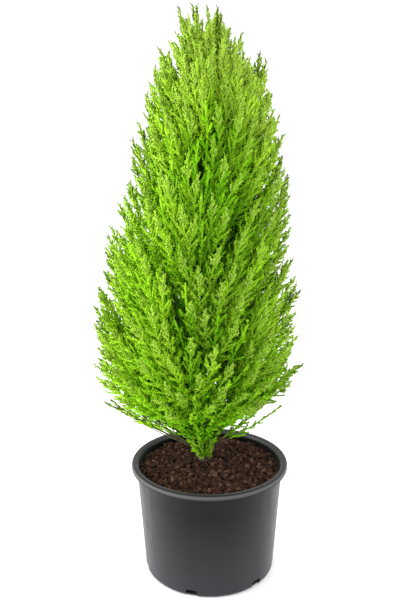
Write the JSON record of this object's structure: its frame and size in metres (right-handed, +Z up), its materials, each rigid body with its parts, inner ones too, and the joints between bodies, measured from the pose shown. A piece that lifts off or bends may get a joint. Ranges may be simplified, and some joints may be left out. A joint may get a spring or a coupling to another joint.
{
  "type": "potted lemon cypress",
  "caption": "Dense, feathery lemon-green conifer of a rounded spindle shape, with a short trunk, rising boughs and separate foliage masses, in a round black nursery pot of potting mix.",
  "frame": {"origin": "the pot's axis on its flat underside", "axes": "+Z up along the pot's axis, X and Y level. The picture's camera looks along +Y with +X to the right"},
  "size_m": [0.3021, 0.295, 0.793],
  "materials": {
    "pot": "satin black moulded polypropylene, lightly scuffed",
    "potting_mix": "damp composted bark chips and peat, rough",
    "bark": "thin fibrous red-brown bark with shallow lengthwise furrows",
    "foliage": "soft matte awl-shaped needles, lemon green at the tips and darker inside"
  },
  "bodies": {
    "root": {"pot": "pot", "potting_mix": "potting_mix", "trunk": "bark", "bough_01": "bark", "bough_02": "bark", "bough_03": "bark", "bough_04": "bark", "bough_05": "bark", "bough_06": "bark", "bough_07": "bark", "bough_08": "bark", "bough_09": "bark", "bough_10": "bark", "bough_11": "bark", "bough_12": "bark", "bough_13": "bark", "bough_14": "bark", "bough_15": "bark", "bough_16": "bark", "bough_17": "bark", "bough_18": "bark", "bough_19": "bark", "bough_20": "bark", "bough_21": "bark", "bough_22": "bark", "foliage_01": "foliage", "foliage_02": "foliage", "foliage_03": "foliage", "foliage_04": "foliage", "foliage_05": "foliage", "foliage_06": "foliage", "foliage_07": "foliage", "foliage_08": "foliage", "foliage_09": "foliage", "foliage_10": "foliage", "foliage_11": "foliage", "foliage_12": "foliage", "foliage_13": "foliage", "foliage_14": "foliage", "foliage_15": "foliage", "foliage_16": "foliage", "foliage_17": "foliage", "foliage_18": "foliage", "foliage_19": "foliage", "foliage_20": "foliage", "foliage_21": "foliage", "foliage_22": "foliage", "foliage_top": "foliage"}
  },
  "joints": []
}
